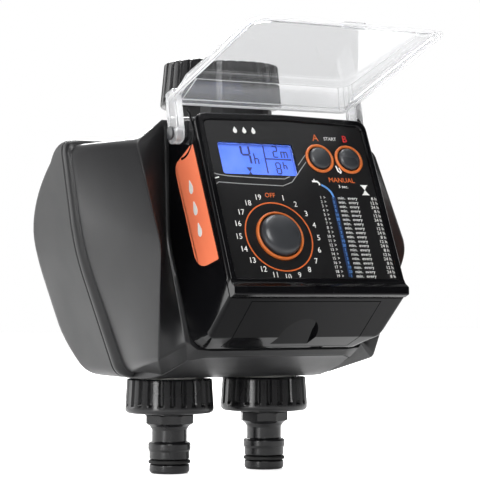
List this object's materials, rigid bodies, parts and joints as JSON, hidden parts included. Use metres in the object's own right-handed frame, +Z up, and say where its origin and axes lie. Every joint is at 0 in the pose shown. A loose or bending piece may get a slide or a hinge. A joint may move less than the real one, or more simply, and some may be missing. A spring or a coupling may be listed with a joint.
{
  "type": "drip irrigation timer",
  "caption": "Tap-mounted watering timer with a sloping dial and display panel, an open clear cover, a ribbed tap nut above and quick-connect hose outlets below.",
  "frame": {"origin": "centre of the tap nut washer face that the end of the tap seats on", "axes": "+Z up along the tap nut axis, -Y to the front where the control panel is, +X to the right seen from the front"},
  "size_m": [0.1394, 0.1552, 0.1723],
  "materials": {
    "housing": "matte",
    "fitting": "satin",
    "gloss": "gloss",
    "key": "satin",
    "orange": "satin",
    "seal": "matte",
    "lead": "matte",
    "clear": "gloss",
    "display": "gloss",
    "board": "satin",
    "valve": "satin",
    "steel": "satin",
    "coil": "satin",
    "jacket": "satin",
    "mesh": "satin"
  },
  "bodies": {
    "timer": {"battery_contacts": "steel", "button_ring_a": "orange", "button_ring_b": "orange", "circuit_board": "board", "coil_lead_left": "lead", "coil_lead_right": "lead", "control_case": "gloss", "control_fascia": "gloss", "dial_ring": "orange", "display_module": "display", "display_window": "clear", "front_housing": "housing", "hinge_pin_left": "key", "hinge_pin_right": "key", "housing_screw_1": "steel", "housing_screw_2": "steel", "housing_screw_3": "steel", "housing_screw_4": "steel", "inlet_collar": "housing", "inlet_filter": "mesh", "inlet_washer": "seal", "nipple_oring_left": "seal", "nipple_oring_right": "seal", "outlet_nipple_left": "fitting", "outlet_nipple_right": "fitting", "outlet_washer_left": "seal", "outlet_washer_right": "seal", "plunger_spring_left": "steel", "plunger_spring_right": "steel", "rear_housing": "housing", "rotary_switch": "board", "side_label_left": "orange", "side_label_right": "orange", "solenoid_coil_left": "coil", "solenoid_coil_right": "coil", "tact_switch_a": "steel", "tact_switch_b": "steel", "valve_bonnet_left": "valve", "valve_bonnet_right": "valve", "valve_manifold": "valve"},
    "cover": {"transparent_cover": "clear"},
    "dial": {"dial_knob": "key"},
    "key_a": {"button_a": "key"},
    "key_b": {"button_b": "key"},
    "tap_nut": {"inlet_nut": "fitting"},
    "nut_left": {"outlet_nut_left": "fitting"},
    "nut_right": {"outlet_nut_right": "fitting"},
    "drawer": {"battery_drawer": "gloss", "battery": "jacket"},
    "armature_left": {"plunger_left": "steel"},
    "armature_right": {"plunger_right": "steel"},
    "membrane_left": {"diaphragm_left": "seal"},
    "membrane_right": {"diaphragm_right": "seal"}
  },
  "joints": [
    {"name": "cover_hinge", "type": "hinge", "parent": "timer", "child": "cover", "pos_m": [0, -0.0398, -0.0192], "axis": [1, 0, 0], "range_deg": [0, 83.5]},
    {"name": "dial_turn", "type": "hinge", "parent": "timer", "child": "dial", "pos_m": [-0.013, -0.07144, -0.05895], "axis": [0, -0.9139, 0.4059], "continuous": true},
    {"name": "button_a_press", "type": "slide", "parent": "timer", "child": "key_a", "axis": [0, 0.9139, -0.4059], "range_m": [0, 0.0008], "stiffness_N_per_m": 900, "springref_m": -0.0003},
    {"name": "button_b_press", "type": "slide", "parent": "timer", "child": "key_b", "axis": [0, 0.9139, -0.4059], "range_m": [0, 0.0008], "stiffness_N_per_m": 900, "springref_m": -0.0003},
    {"name": "tap_nut_turn", "type": "hinge", "parent": "timer", "child": "tap_nut", "pos_m": [0, 0, 0], "axis": [0, 0, 1], "continuous": true},
    {"name": "outlet_nut_left_turn", "type": "hinge", "parent": "timer", "child": "nut_left", "pos_m": [-0.022, 0.003, -0.121], "axis": [0, 0, 1], "continuous": true},
    {"name": "outlet_nut_right_turn", "type": "hinge", "parent": "timer", "child": "nut_right", "pos_m": [0.022, 0.003, -0.121], "axis": [0, 0, 1], "continuous": true},
    {"name": "battery_drawer_slide", "type": "slide", "parent": "timer", "child": "drawer", "axis": [0, -0.4059, -0.9139], "range_m": [0, 0.026]},
    {"name": "armature_left_lift", "type": "slide", "parent": "timer", "child": "armature_left", "axis": [0, 0, 1], "range_m": [0, 0.0015], "stiffness_N_per_m": 200, "springref_m": -0.0006, "deforming": ["plunger_spring_left"]},
    {"name": "membrane_left_lift", "type": "slide", "parent": "timer", "child": "membrane_left", "axis": [0, 0, 1], "range_m": [0, 0.0015]},
    {"name": "armature_right_lift", "type": "slide", "parent": "timer", "child": "armature_right", "axis": [0, 0, 1], "range_m": [0, 0.0015], "stiffness_N_per_m": 200, "springref_m": -0.0006, "deforming": ["plunger_spring_right"]},
    {"name": "membrane_right_lift", "type": "slide", "parent": "timer", "child": "membrane_right", "axis": [0, 0, 1], "range_m": [0, 0.0015]}
  ],
  "couplings": [
    {"joint": "membrane_left_lift", "follows": "armature_left_lift", "ratio": 1},
    {"joint": "membrane_right_lift", "follows": "armature_right_lift", "ratio": 1}
  ]
}
